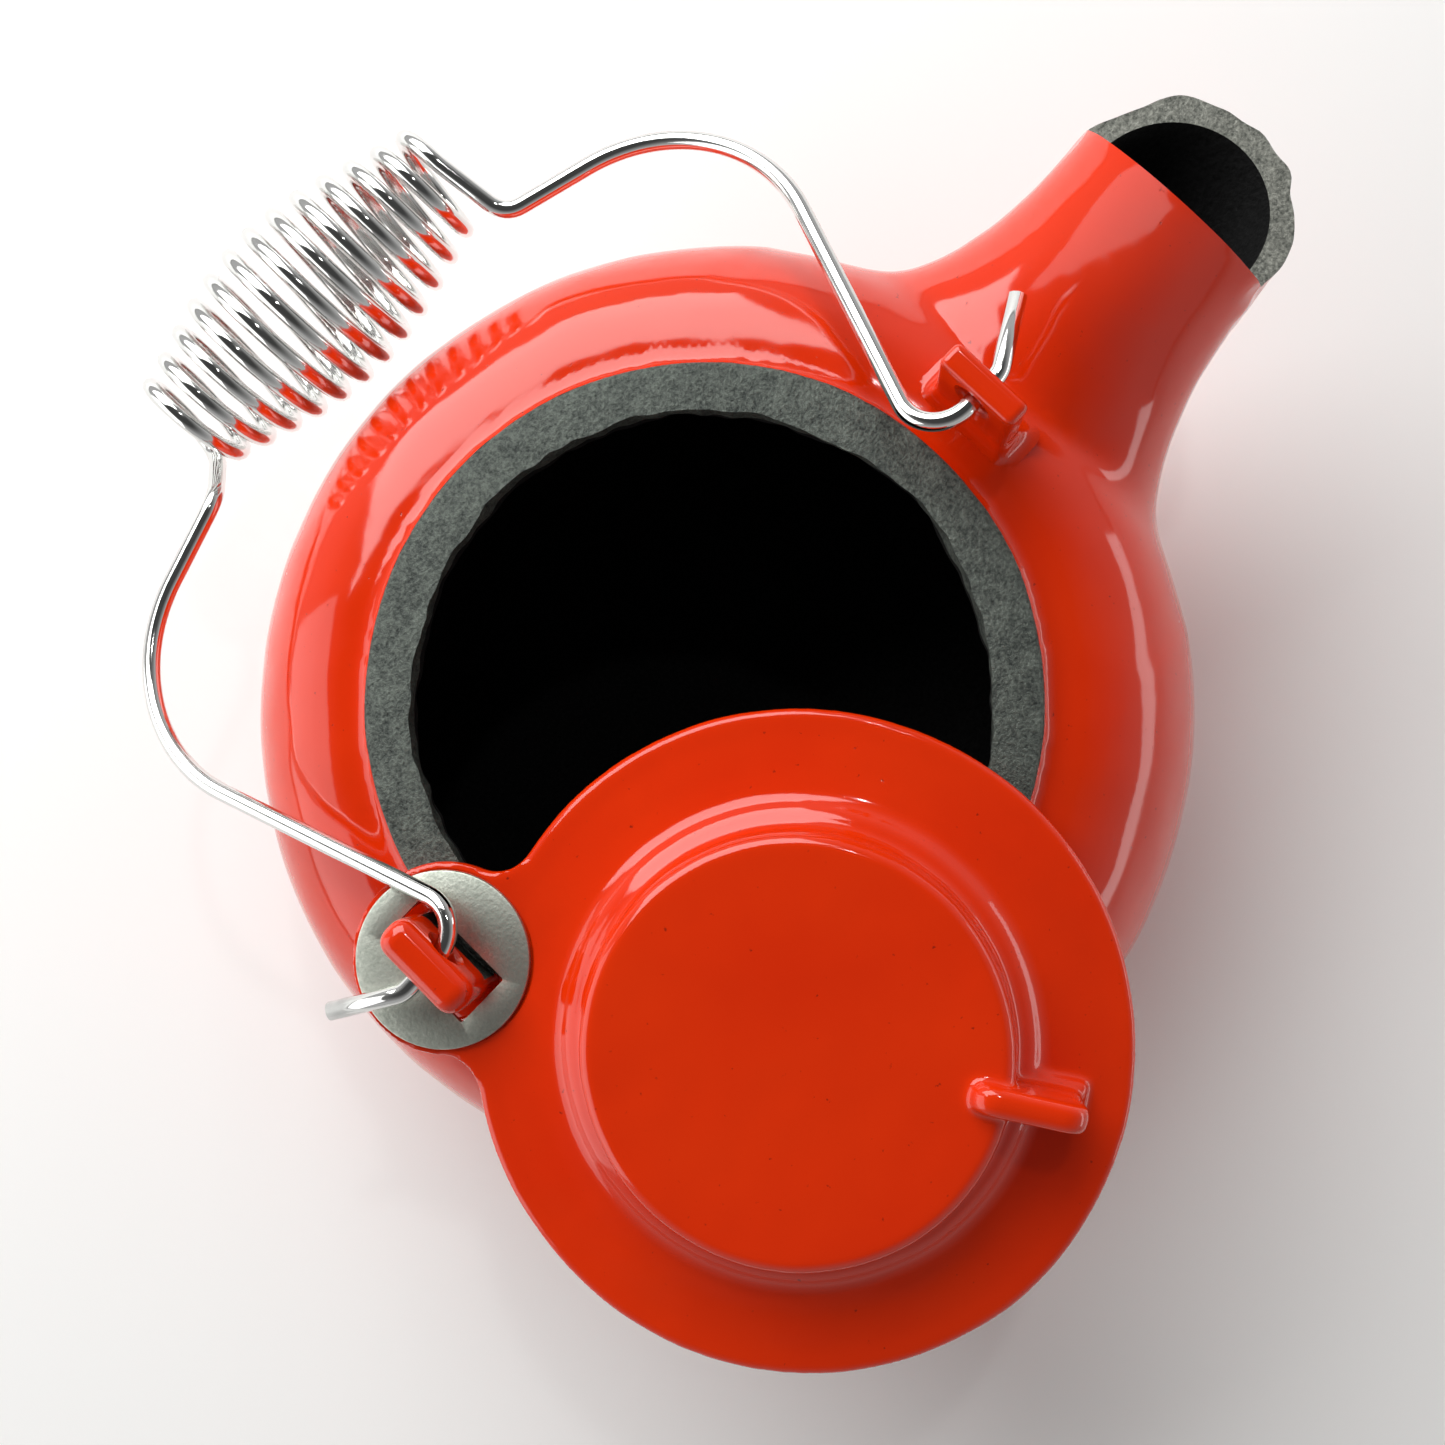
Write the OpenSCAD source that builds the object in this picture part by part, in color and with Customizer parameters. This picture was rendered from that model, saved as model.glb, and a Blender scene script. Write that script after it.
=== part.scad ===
// Cast-iron stovetop kettle: pot with a wide spout, swivelling lid and coil-grip wire bail.
// The origin is the centre of the flat base, +Z is up and +X points along the spout.
// At rest the lid is swung open towards -Y and the bail hangs over the +Y side.

/* [Pot] */
// Height of the rim face above the base
rim_height = 114; // [100:1:136]
// Outer radius of the bare rim
rim_radius = 80; // [74:0.5:92]
// Radial width of the rim face
rim_width = 11.5; // [8:0.5:13]
// Step from the shoulder up to the rim face
rim_step = 4.5; // [3:0.5:6]
// Greatest radius of the belly
belly_radius = 124; // [114:1:148]
// Height of the belly's widest line
belly_height = 58; // [50:1:66]
// Radius of the flat base
base_radius = 92; // [84:1:98]
// Thickness of the pot's wall
wall = 4; // [3.5:0.5:6]
// Thickness of the pot's floor
floor_thickness = 5; // [4:0.5:7]

/* [Spout] */
// Distance of the mouth's side corners beyond the belly
mouth_overhang = 37; // [30:1:44]
// Depth of the mouth's side corners below the rim face
mouth_drop = 10; // [4:1:16]
// Half the outer width of the spout at its mouth
mouth_radius = 28.3; // [25:0.1:31]
// Half the outer width of the spout at its root
root_radius = 43; // [38:1:46]
// Thickness of the spout's wall
spout_wall = 5.5; // [4:0.5:6.5]
// Lean of the mouth's upper cut from the vertical
upper_cut = 18; // [10:1:26]
// Slope of the mouth's lower lip below the horizontal
lower_cut = 10; // [4:1:16]

/* [Lugs] */
// Distance of the rear lug, and so of the lid's pivot, beyond the rim
pivot_offset = 4; // [3:0.5:8]
// Distance of the front lug beyond the rim
front_offset = 13.5; // [12:0.5:18]
// Height of the lug tops above the rim face
lug_height = 21.5; // [20:0.5:26]
// Height of the lug holes above the rim face
hole_height = 14.5; // [13.5:0.5:16]
// Diameter of the lug holes
hole_diameter = 8.5; // [7:0.1:9]
// Thickness of the rear lug along X
rear_thickness = 9.8; // [8:0.1:11]
// Width of the rear lug along Y
rear_width = 25; // [22:0.5:26]
// Radius of the rear lug's top edges
rear_edge = 4; // [2:0.5:4.5]
// Thickness of the front lug along X
front_thickness = 6.5; // [5:0.1:8]
// Width of the front lug along Y
front_width = 21.5; // [18:0.5:24]
// Radius of the front lug's top edges
front_edge = 1.5; // [0.5:0.5:2.5]
// Flare of the front lug's foot, on each side
front_flare = 4; // [2:0.5:5]

/* [Lid] */
// Distance of the lid's edge inside the rim's edge
lid_inset = 4.8; // [2:0.1:7]
// Thickness of the flange at its edge and at the ear
flange_thickness = 4.4; // [3.5:0.1:5]
// Height of the boss top above the flange's underside
boss_height = 23; // [18:0.5:26]
// Radius of the boss's flat top
boss_radius = 45; // [40:0.5:48]
// Width of the ear left showing round the washer
ear_margin = 1.7; // [1:0.1:3]
// Gap between the lid and the rim face
lid_gap = 0.2; // [0.1:0.1:0.5]
// Angle that the lid is swung open
lid_open = 57.5; // [0:0.5:100]

/* [Thumb tab] */
// Length of the tab that lies on the boss
tab_inset = 7; // [4:1:10]
// Length of the tab that stands out from the boss
tab_outset = 18; // [12:1:20]
// Thickness of the tab
tab_thickness = 6; // [4:0.5:8]
// Height of the tab above the boss top
tab_rise = 5; // [2:0.5:8]

/* [Washer] */
// Radius of the washer
washer_radius = 20.7; // [19:0.1:22]
// Thickness of the washer
washer_thickness = 1.5; // [1:0.1:2]
// Clearance of the washer in the ear's recess
washer_gap = 0.8; // [0.5:0.1:1.2]
// Clearance of the washer's slot along the lug's width, on each side
slot_end_gap = 1; // [0.6:0.1:1.5]
// Width of the washer's slot beyond the lug's thickness
slot_side_gap = 4.3; // [2:0.1:5]

/* [Bail] */
// Diameter of the bail wire
wire = 4.4; // [3.8:0.1:5]
// Angle of the bail above the horizontal, on the +Y side
bail_angle = -15; // [-15:1:120]
// Distance that the bail lies back from the middle of the two lugs
bail_shift = 1.75; // [0:0.25:3]
// Distance from a lug's middle, with the bail centred, to where the hook begins to bend
hook_inset = 3.15; // [2:0.05:5]
// Bend radius of the hooks
hook_radius = 9; // [7:0.5:11]
// Turn of the wire at the hooks
hook_turn = 111; // [105:1:115]
// How much shorter the rear arm's straight run is than the belly's radius
run_inset = 61; // [55:1:68]
// How much longer the rear arm's straight run is than the front arm's
run_difference = 6; // [0:1:10]
// Bend radius of the bows
bow_radius = 41.5; // [36:0.5:46]
// Turn of the wire round the bows
bow_turn = 91; // [86:1:96]
// Length of the straight run from each bow to the grip
shoulder_run = 24; // [18:1:28]
// Distance from a lug's middle, with the bail centred, to where the tail begins to bend
tail_outset = 5.75; // [5:0.25:8]
// Bend radius of the tails
tail_radius = 6; // [5:0.5:8]
// Turn of the wire at the tails
tail_turn = 32; // [20:1:40]
// Length of the straight tails
tail_length = 17; // [12:1:20]

/* [Grip] */
// Number of turns in the coil
coil_turns = 13; // [9:1:14]
// Radius of the wire's centreline at the coil's middle
coil_radius = 21.7; // [16:0.1:24]
// Radius of the wire's centreline at the coil's ends
coil_end_radius = 12.3; // [10:0.1:16]
// Distance of the coil's axis beyond the corners of the bail
coil_offset = 23; // [20:0.5:26]
// Length of each leg, along the coil's axis
leg_advance = 3.6; // [2:0.1:5]

/* [Hidden] */
$fn = 96;

shoulder_height = rim_height - rim_step;
shoulder_width = 4;                         // from the step to where the pot's side begins to fall
shoulder_radius = rim_radius + shoulder_width;
bore_radius = rim_radius - rim_width;
roof = 9;                                   // thickness of the casting under the rim
arc_steps = 14;                             // flats along a quarter of the pot's side
pass = 1;                                   // how far a cut runs past the surface that it opens
pivot_reach = rim_radius + pivot_offset;
front_reach = rim_radius + front_offset;
lug_middle = (front_reach - pivot_reach) / 2;
lug_half = (front_reach + pivot_reach) / 2;
lug_root = 16;                              // depth of the lugs' feet below the rim face
hole_z = rim_height + hole_height;
lid_radius = rim_radius - lid_inset;
lid_z = rim_height + lid_gap;
ear_radius = washer_radius + ear_margin;
pivot_gap = 0.8;                            // clearance of the ear's hole round the lug's corners
pivot_hole = norm([rear_thickness, rear_width]) / 2 + pivot_gap;
washer_z = lid_z + flange_thickness + lid_gap;
tab_start = boss_radius - tab_inset;
tab_end = boss_radius + tab_outset;
bail_centre = lug_middle - bail_shift;
hook_reach = lug_half - hook_inset;
tail_reach = lug_half + tail_outset;
rear_run = belly_radius - run_inset;
front_run = rear_run - run_difference;
wire_radius = wire / 2;

// Points on an ellipse about [x, z] with half axes a and b, from angle f to angle t.
function ellipse(x, z, a, b, f, t) = [
    for (i = [0 : arc_steps])
        let (q = f + (t - f) * i / arc_steps)
        [x + a * cos(q), z + b * sin(q)]
];

// ---- Pot, spout and lugs: one casting ----

module pot_outside() {
    rotate_extrude()
    polygon(concat(
        [[0, 0]],
        ellipse(base_radius, belly_height, belly_radius - base_radius, belly_height, -90, 0),
        ellipse(shoulder_radius, belly_height, belly_radius - shoulder_radius,
                shoulder_height - belly_height, 0, 90),
        [[rim_radius, shoulder_height], [rim_radius, rim_height], [0, rim_height]]
    ));
}

module pot_inside() {
    rotate_extrude()
    polygon(concat(
        [[0, floor_thickness]],
        ellipse(base_radius, belly_height, belly_radius - wall - base_radius,
                belly_height - floor_thickness, -90, 0),
        ellipse(shoulder_radius, belly_height, belly_radius - wall - shoulder_radius,
                rim_height - roof - belly_height, 0, 90),
        [[bore_radius, rim_height - roof], [bore_radius, rim_height + pass], [0, rim_height + pass]]
    ));
}

// The spout's centreline is a quadratic curve from inside the pot to beyond the mouth.
mouth_corner = [belly_radius + mouth_overhang, rim_height - mouth_drop];
spout_from = [rim_radius + 5, rim_height - 52];
spout_bend = mouth_corner + [-31, -36];
spout_to = mouth_corner + [15, 16];
spout_flare = 2.2;                          // how quickly the root's flare dies away
spout_flat = 2.5;                           // how much shallower than wide the mouth's end is
spout_pinch = 1.5;                          // narrowing past the mouth
spout_rings = 12;
spout_sides = 32;

function spout_centre(u) =
    pow(1 - u, 2) * spout_from + 2 * u * (1 - u) * spout_bend + u * u * spout_to;

function spout_heading(u) =
    let (d = (1 - u) * (spout_bend - spout_from) + u * (spout_to - spout_bend))
    d / norm(d);

// Half the width at station u: it flares towards the root and narrows past the mouth.
function spout_width(u) =
    mouth_radius + (root_radius - mouth_radius) * pow(1 - u, spout_flare) - spout_pinch * pow(u, 6);

function spout_depth(u) = spout_width(u) - spout_flat * u * u;

// One ring of the spout, shrunk by inset.
function spout_ring(u, inset) = [
    for (k = [0 : spout_sides - 1])
        let (q = 360 * k / spout_sides,
             c = spout_centre(u),
             h = spout_heading(u),
             across = -(spout_width(u) - inset) * sin(q),
             up = (spout_depth(u) - inset) * cos(q))
        [c.x - h.y * up, across, c.y + h.x * up]
];

// Faces that join rings of n points, with both ends closed.
function tube_faces(rings, n) = concat(
    [[for (k = [0 : n - 1]) k]],
    [for (r = [0 : rings - 2], k = [0 : n - 1])
        let (a = r * n + k, b = r * n + (k + 1) % n)
        [b, a, a + n, b + n]],
    [[for (k = [n - 1 : -1 : 0]) (rings - 1) * n + k]]
);

module spout_tube(inset) {
    points = [for (r = [0 : spout_rings]) each spout_ring(r / spout_rings, inset)];
    polyhedron(points, tube_faces(spout_rings + 1, spout_sides), convexity = 4);
}

// The mouth is cut back at the top and reaches out as a lip at the bottom.
module mouth_cut() {
    far = 2.5 * mouth_radius;
    translate([0, far / 2 + mouth_radius, 0])
    rotate([90, 0, 0])
    linear_extrude(far + 2 * mouth_radius)
    polygon([
        mouth_corner,
        mouth_corner + far * [-sin(upper_cut), cos(upper_cut)],
        mouth_corner + [far, far],
        mouth_corner + far * [cos(lower_cut), -sin(lower_cut)]
    ]);
}

// Outline of a lug of this width, flared at its foot, with top corners of radius edge.
module lug_outline(width, edge, flare) {
    foot = rim_height - lug_root;
    waist = rim_height - 2;
    top = rim_height + lug_height;
    polygon([
        [-width / 2 - flare, foot], [width / 2 + flare, foot],
        [width / 2, waist], [width / 2, top - edge],
        [width / 2 - edge, top], [-width / 2 + edge, top],
        [-width / 2, top - edge], [-width / 2, waist]
    ]);
    for (side = [-1, 1])
        translate([side * (width / 2 - edge), top - edge])
        circle(edge);
}

// A plate on edge across X. Its front and its side have the same outline, in their own widths.
module lug(thickness, width, edge, flare) {
    deep = thickness + 2 * flare + 2 * pass;
    long = width + 2 * flare + 2 * pass;
    intersection() {
        translate([-deep / 2, 0, 0])
        rotate([90, 0, 90])
        linear_extrude(deep)
        lug_outline(width, edge, flare);
        translate([0, long / 2, 0])
        rotate([90, 0, 0])
        linear_extrude(long)
        lug_outline(thickness, edge, flare);
    }
}

module lug_hole(x, thickness) {
    length = thickness + 2 * lug_root;
    translate([x - length / 2, 0, hole_z])
    rotate([0, 90, 0])
    cylinder(h = length, d = hole_diameter);
}

module kettle_casting() {
    color("orangered")
    difference() {
        union() {
            pot_outside();
            spout_tube(0);
            translate([-pivot_reach, 0, 0]) lug(rear_thickness, rear_width, rear_edge, 0);
            translate([front_reach, 0, 0]) lug(front_thickness, front_width, front_edge, front_flare);
        }
        pot_inside();
        spout_tube(spout_wall);
        mouth_cut();
        lug_hole(-pivot_reach, rear_thickness);
        lug_hole(front_reach, front_thickness);
    }
}

// ---- Lid ----

// Everything that rides on the lid is drawn closed and about the lid's own centre.
module lid_place() {
    translate([-pivot_reach, 0, lid_z])
    rotate([0, 0, -lid_open])
    translate([pivot_reach, 0, 0])
    children();
}

// The flange has an eased edge and a flat border, rises to a ledge and then to the boss.
module lid_disc() {
    ease = 1.6;
    part_ease = 0.6;
    border = 6;
    rotate_extrude()
    polygon([
        [0, 0], [lid_radius - ease, 0], [lid_radius - 0.5, part_ease], [lid_radius, ease],
        [lid_radius, flange_thickness - ease], [lid_radius - 0.5, flange_thickness - part_ease],
        [lid_radius - ease, flange_thickness], [lid_radius - border, flange_thickness],
        [boss_radius + 9, flange_thickness + 2], [boss_radius + 5, flange_thickness + 3.4],
        [boss_radius + 3, flange_thickness + 7], [boss_radius + 2, boss_height - 3],
        [boss_radius + 1, boss_height - 1], [boss_radius - 1, boss_height], [0, boss_height]
    ]);
}

// The ear meets the flange in two concave fillets.
module lid_ear() {
    fillet = 9;
    a = ear_radius + fillet - 0.2;          // the fillets bite a little into both edges
    b = lid_radius + fillet - 0.5;
    along = (pivot_reach * pivot_reach + a * a - b * b) / (2 * pivot_reach);
    off = sqrt(a * a - along * along);
    translate([-pivot_reach, 0, 0])
    difference() {
        union() {
            cylinder(h = flange_thickness, r = ear_radius);
            linear_extrude(flange_thickness)
            polygon([[0, 0], [along, off], [pivot_reach, 0], [along, -off]]);
        }
        for (side = [-1, 1])
            translate([along, side * off, -pass])
            cylinder(h = flange_thickness + 2 * pass, r = fillet);
    }
}

module thumb_tab() {
    top = boss_height + tab_rise;
    corner = 4;
    translate([0, tab_thickness / 2, 0])
    rotate([90, 0, 0])
    linear_extrude(tab_thickness)
    union() {
        polygon([
            [tab_start, top - corner], [tab_start + corner, top], [tab_end - corner, top],
            [tab_end, top - corner], [tab_end + 1, flange_thickness], [tab_start, flange_thickness]
        ]);
        translate([tab_start + corner, top - corner]) circle(corner);
        translate([tab_end - corner, top - corner]) circle(corner);
    }
}

module lid() {
    color("orangered")
    lid_place()
    difference() {
        union() {
            lid_disc();
            lid_ear();
            thumb_tab();
        }
        translate([0, 0, -pass])
        cylinder(h = boss_height - wall + pass, r = boss_radius - wall);
        translate([-pivot_reach, 0, -pass])
        cylinder(h = flange_thickness + 2 * pass, r = pivot_hole);
        translate([-pivot_reach, 0, flange_thickness])
        cylinder(h = boss_height, r = washer_radius + washer_gap);
    }
}

// ---- Washer ----

module pivot_washer() {
    slot_x = rear_thickness + slot_side_gap;
    slot_y = rear_width + 2 * slot_end_gap;
    color("silver")
    translate([-pivot_reach, 0, washer_z])
    difference() {
        cylinder(h = washer_thickness, r = washer_radius);
        translate([-slot_x / 2, -slot_y / 2, -pass])
        cube([slot_x, slot_y, washer_thickness + 2 * pass]);
    }
}

// ---- Bail ----

// The bail is drawn flat: local X along the hinge, local Y outwards, local Z square to the wire.
module bail_place() {
    translate([bail_centre, 0, hole_z])
    rotate([bail_angle, 0, 0])
    children();
}

corner_run = 5;                             // wire before each corner, drawn with the grip
run_heading = 180 - hook_turn;
shoulder_heading = run_heading + bow_turn;
wire_sides = 8;

function heading(q) = [cos(q), sin(q)];

// Points of a bend about centre c, from angle f to angle t.
function bend(c, r, f, t, n) = [for (i = [0 : n]) c + r * heading(f + (t - f) * i / n)];

// Centres of the bends on the +X side, and where the wire reaches its corner at the grip.
function hook_end() = [hook_reach, hook_radius] + hook_radius * heading(run_heading + 90);
function bow_centre(run) =
    hook_end() + run * heading(run_heading) + bow_radius * heading(run_heading + 90);
function bail_corner(run) =
    bow_centre(run) + bow_radius * heading(shoulder_heading - 90)
    + shoulder_run * heading(shoulder_heading);

// The flat path of one side of the bail, from its tail to just before the corner.
function side_path(run) = concat(
    [[tail_reach, tail_radius] + tail_radius * heading(tail_turn - 90)
     + tail_length * heading(tail_turn)],
    bend([tail_reach, tail_radius], tail_radius, tail_turn - 90, -90, 3),
    bend([hook_reach, hook_radius], hook_radius, 270, run_heading + 90, 8),
    bend(bow_centre(run), bow_radius, run_heading - 90, shoulder_heading - 90, 12),
    [bail_corner(run) - corner_run * heading(shoulder_heading)]
);

// The direction of a path at point i. The first and last headings are given.
function path_heading(path, i, first, last) =
    let (d = i == 0 ? first
           : i == len(path) - 1 ? last
           : path[i + 1] - path[i - 1])
    d / norm(d);

// Sweeps the wire along a path. The ring at each point is measured from the direction across.
module sweep_wire(path, first, last, across) {
    points = [
        for (i = [0 : len(path) - 1])
            let (h = path_heading(path, i, first, last),
                 s = cross(h, across),
                 side = s / norm(s),
                 up = cross(h, side))
            for (k = [0 : wire_sides - 1])
                let (q = 360 * k / wire_sides)
                path[i] + wire_radius * (cos(q) * side + sin(q) * up)
    ];
    polyhedron(points, tube_faces(len(path), wire_sides), convexity = 20);
}

module bail_side(run) {
    path = [for (p = side_path(run)) [p.x, p.y, 0]];
    last = heading(shoulder_heading);
    sweep_wire(path, path[1] - path[0], [last.x, last.y, 0], [0, 0, 1]);
}

module front_arm() {
    color("lightgray")
    bail_place()
    bail_side(front_run);
}

module rear_arm() {
    color("lightgray")
    bail_place()
    mirror([1, 0, 0])
    bail_side(rear_run);
}

// The grip is drawn between the two corners.
front_corner = bail_corner(front_run);
rear_corner = [-bail_corner(rear_run).x, bail_corner(rear_run).y];
grip_middle = (front_corner + rear_corner) / 2;
grip_line = front_corner - rear_corner;
grip_tilt = atan2(grip_line.y, grip_line.x);
grip_half = norm(grip_line) / 2;

// The coil in its own frame: X along its axis, its corners on Y = 0, its axis at Y = coil_offset.
leg_turn = acos(coil_end_radius / coil_offset);
coil_sweep = 360 * coil_turns - 2 * leg_turn;
coil_half = grip_half - leg_advance;
steps_per_turn = 18;
barrel = 1.3;                               // how soon the coil swells from its ends
coil_steps = round(steps_per_turn * coil_sweep / 360);
function coil_point(i) =
    let (f = i / coil_steps,
         q = leg_turn + coil_sweep * f,
         r = coil_end_radius + (coil_radius - coil_end_radius) * pow(sin(180 * f), barrel))
    [coil_half * (1 - 2 * f), coil_offset - r * cos(q), r * sin(q)];

// A short curve round the corner from the arm, coming in on heading q, to the first coil point.
function corner_points(q) =
    let (a = [grip_half, 0, 0] - corner_run * [cos(q), sin(q), 0],
         b = [grip_half, 0, 0],
         d = coil_point(0) - b,
         c = b + corner_run * d / norm(d))
    [for (i = [0 : 4]) let (u = i / 4) pow(1 - u, 2) * a + 2 * u * (1 - u) * b + u * u * c];

// The rear end is the front end turned half a turn about local Y.
function turned(p) = [-p.x, p.y, -p.z];
front_points = corner_points(shoulder_heading - grip_tilt);
rear_points = [for (p = corner_points(shoulder_heading + grip_tilt)) turned(p)];

grip_path = concat(
    front_points,
    [for (i = [0 : coil_steps]) coil_point(i)],
    [for (i = [len(rear_points) - 1 : -1 : 0]) rear_points[i]]
);

module grip_coil() {
    front_heading = heading(shoulder_heading - grip_tilt);
    rear_heading = heading(shoulder_heading + grip_tilt);
    color("lightgray")
    bail_place()
    translate([grip_middle.x, grip_middle.y, 0])
    rotate([0, 0, grip_tilt])
    sweep_wire(grip_path, [front_heading.x, front_heading.y, 0],
               [rear_heading.x, -rear_heading.y, 0], [1, 0, 0]);
}

kettle_casting();
lid();
pivot_washer();
rear_arm();
front_arm();
grip_coil();
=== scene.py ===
import math
import bpy
import numpy as np
from mathutils import Matrix, Vector, noise


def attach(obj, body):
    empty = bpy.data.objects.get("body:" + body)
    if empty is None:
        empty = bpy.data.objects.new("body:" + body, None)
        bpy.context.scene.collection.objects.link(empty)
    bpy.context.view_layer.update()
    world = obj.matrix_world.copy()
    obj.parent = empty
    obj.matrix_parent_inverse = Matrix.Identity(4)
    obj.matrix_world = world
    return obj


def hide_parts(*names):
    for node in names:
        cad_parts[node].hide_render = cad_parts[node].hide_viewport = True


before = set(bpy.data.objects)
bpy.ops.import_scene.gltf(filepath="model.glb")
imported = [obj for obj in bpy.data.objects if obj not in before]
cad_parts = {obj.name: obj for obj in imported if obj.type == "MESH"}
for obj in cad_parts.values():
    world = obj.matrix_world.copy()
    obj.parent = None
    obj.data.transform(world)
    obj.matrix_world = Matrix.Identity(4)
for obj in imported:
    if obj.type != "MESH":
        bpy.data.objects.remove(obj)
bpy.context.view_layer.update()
print("frame loaded")

# lengths in the dictionaries below are in millimetres, and angles in degrees
mm = 0.001
# points nearer to each other than this are one point
weld = 0.01 * mm


def deselectAll():
    if bpy.context.object and bpy.context.object.mode != "OBJECT":
        bpy.ops.object.mode_set(mode="OBJECT")
    bpy.ops.object.select_all(action="DESELECT")


def takeUp(piece):
    deselectAll()
    piece.select_set(True)
    bpy.context.view_layer.objects.active = piece


def editAll(piece, kind="VERT"):
    takeUp(piece)
    bpy.ops.object.mode_set(mode="EDIT")
    bpy.ops.mesh.select_mode(type=kind)
    bpy.ops.mesh.select_all(action="SELECT")


def leaveEdit():
    bpy.ops.object.mode_set(mode="OBJECT")


def faceOutwards():
    bpy.ops.mesh.select_all(action="SELECT")
    bpy.ops.mesh.normals_make_consistent(inside=False)
    leaveEdit()


def named(name):
    piece = bpy.context.object
    piece.name = name
    piece.data.name = name
    return piece


def settle(piece):
    # puts the place, turn and size of a piece into its mesh
    takeUp(piece)
    bpy.ops.object.transform_apply(location=True, rotation=True, scale=True)


def applyModifier(piece, kind, **settings):
    takeUp(piece)
    modifier = piece.modifiers.new(kind.title(), kind)
    for key, value in settings.items():
        setattr(modifier, key, value)
    bpy.ops.object.modifier_apply(modifier=modifier.name)


def combine(piece, other, operation):
    # a boolean that uses the other piece up, and takes on its finish where it cuts
    applyModifier(piece, "BOOLEAN", object=other, operation=operation, solver="MANIFOLD",
                  material_mode="TRANSFER")
    bpy.data.objects.remove(other)


def joinAll(first, *others):
    deselectAll()
    for piece in (first, *others):
        piece.select_set(True)
    bpy.context.view_layer.objects.active = first
    bpy.ops.object.join()
    return first


def selectFaces(piece, wanted):
    # leaves edit mode with only the wanted faces selected, then goes back in
    editAll(piece, "FACE")
    bpy.ops.mesh.select_all(action="DESELECT")
    leaveEdit()
    for face in piece.data.polygons:
        face.select = wanted(face)
    bpy.ops.object.mode_set(mode="EDIT")


def selectEdges(piece, wanted):
    editAll(piece, "EDGE")
    bpy.ops.mesh.select_all(action="DESELECT")
    leaveEdit()
    spots = [vertex.co for vertex in piece.data.vertices]
    for edge in piece.data.edges:
        a, b = edge.vertices
        edge.select = wanted(spots[a], spots[b])
    bpy.ops.object.mode_set(mode="EDIT")


def drawOutline(name, points):
    # a vertex is drawn out from point to point in the XZ plane
    deselectAll()
    first = Vector((points[0][0], 0, points[0][1])) * mm
    bpy.ops.mesh.primitive_plane_add(size=mm, location=first)
    outline = named(name)
    settle(outline)
    editAll(outline)
    bpy.ops.mesh.merge(type="CENTER")
    for before, after in zip(points, points[1:]):
        step = Vector((after[0] - before[0], 0, after[1] - before[1])) * mm
        bpy.ops.mesh.extrude_vertices_move(TRANSFORM_OT_translate={"value": step})
    leaveEdit()
    return outline


def turned(name, points, steps):
    # spins an outline round the Z axis into a closed body
    piece = drawOutline(name, points)
    editAll(piece)
    bpy.ops.mesh.spin(steps=steps, angle=math.tau, center=(0, 0, 0), axis=(0, 0, 1))
    bpy.ops.mesh.select_all(action="SELECT")
    bpy.ops.mesh.remove_doubles(threshold=weld)
    faceOutwards()
    return piece


def thickened(outline, step):
    # fills a closed outline and draws it out by one step into a solid
    editAll(outline)
    bpy.ops.mesh.remove_doubles(threshold=weld)
    bpy.ops.mesh.edge_face_add()
    bpy.ops.mesh.extrude_region_move(TRANSFORM_OT_translate={"value": Vector(step) * mm})
    faceOutwards()
    return outline


def block(name, centre, size):
    # a plain block, which its caller rounds off
    deselectAll()
    bpy.ops.mesh.primitive_cube_add(size=1, location=Vector(centre) * mm)
    piece = named(name)
    piece.scale = Vector(size) * mm
    settle(piece)
    return piece


def arc(x, z, a, b, start, end, steps):
    # points along an ellipse about (x, z), with half axes a and b
    turns = [math.radians(start + (end - start) * i / steps) for i in range(steps + 1)]
    return [(x + a * math.cos(q), z + b * math.sin(q)) for q in turns]


def lofted(name, rings, sides):
    # a circle at each station, bridged into one tube with closed ends
    circles = []
    for centre, tilt, width, depth in rings:
        deselectAll()
        bpy.ops.mesh.primitive_circle_add(
            vertices=sides, radius=1, location=Vector(centre) * mm, rotation=(0, tilt, 0))
        circles.append(named(name))
        circles[-1].scale = (depth * mm, width * mm, 1)
        settle(circles[-1])
    tube = joinAll(*circles)
    editAll(tube)
    bpy.ops.mesh.bridge_edge_loops()
    bpy.ops.mesh.select_all(action="SELECT")
    bpy.ops.mesh.fill_holes(sides=0)
    faceOutwards()
    return tube


def spotsOf(piece):
    # the places and normals of all vertices, read in one go, in metres
    count = len(piece.data.vertices)
    spots = np.empty(count * 3, dtype=np.float32)
    normals = np.empty(count * 3, dtype=np.float32)
    piece.data.vertices.foreach_get("co", spots)
    piece.data.vertices.foreach_get("normal", normals)
    return spots.reshape(-1, 3), normals.reshape(-1, 3)


def moveTo(piece, spots):
    piece.data.vertices.foreach_set("co", spots.astype(np.float32).ravel())
    piece.data.update()


def waver(piece, waves, where):
    # moves a surface in and out by soft noise, as a casting is never quite true: each wave has a
    # size, a depth and a seed, and where() gives its share at a place
    for size, depth, seed in waves:
        spots, normals = spotsOf(piece)
        shift = Vector((seed, seed, seed))
        lift = np.array([noise.noise(Vector(spot) / (size * mm) + shift) for spot in spots.tolist()])
        lift = lift * np.array([where(*spot) for spot in (spots / mm).tolist()])
        moveTo(piece, spots + normals * (lift * depth * mm)[:, None])


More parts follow.
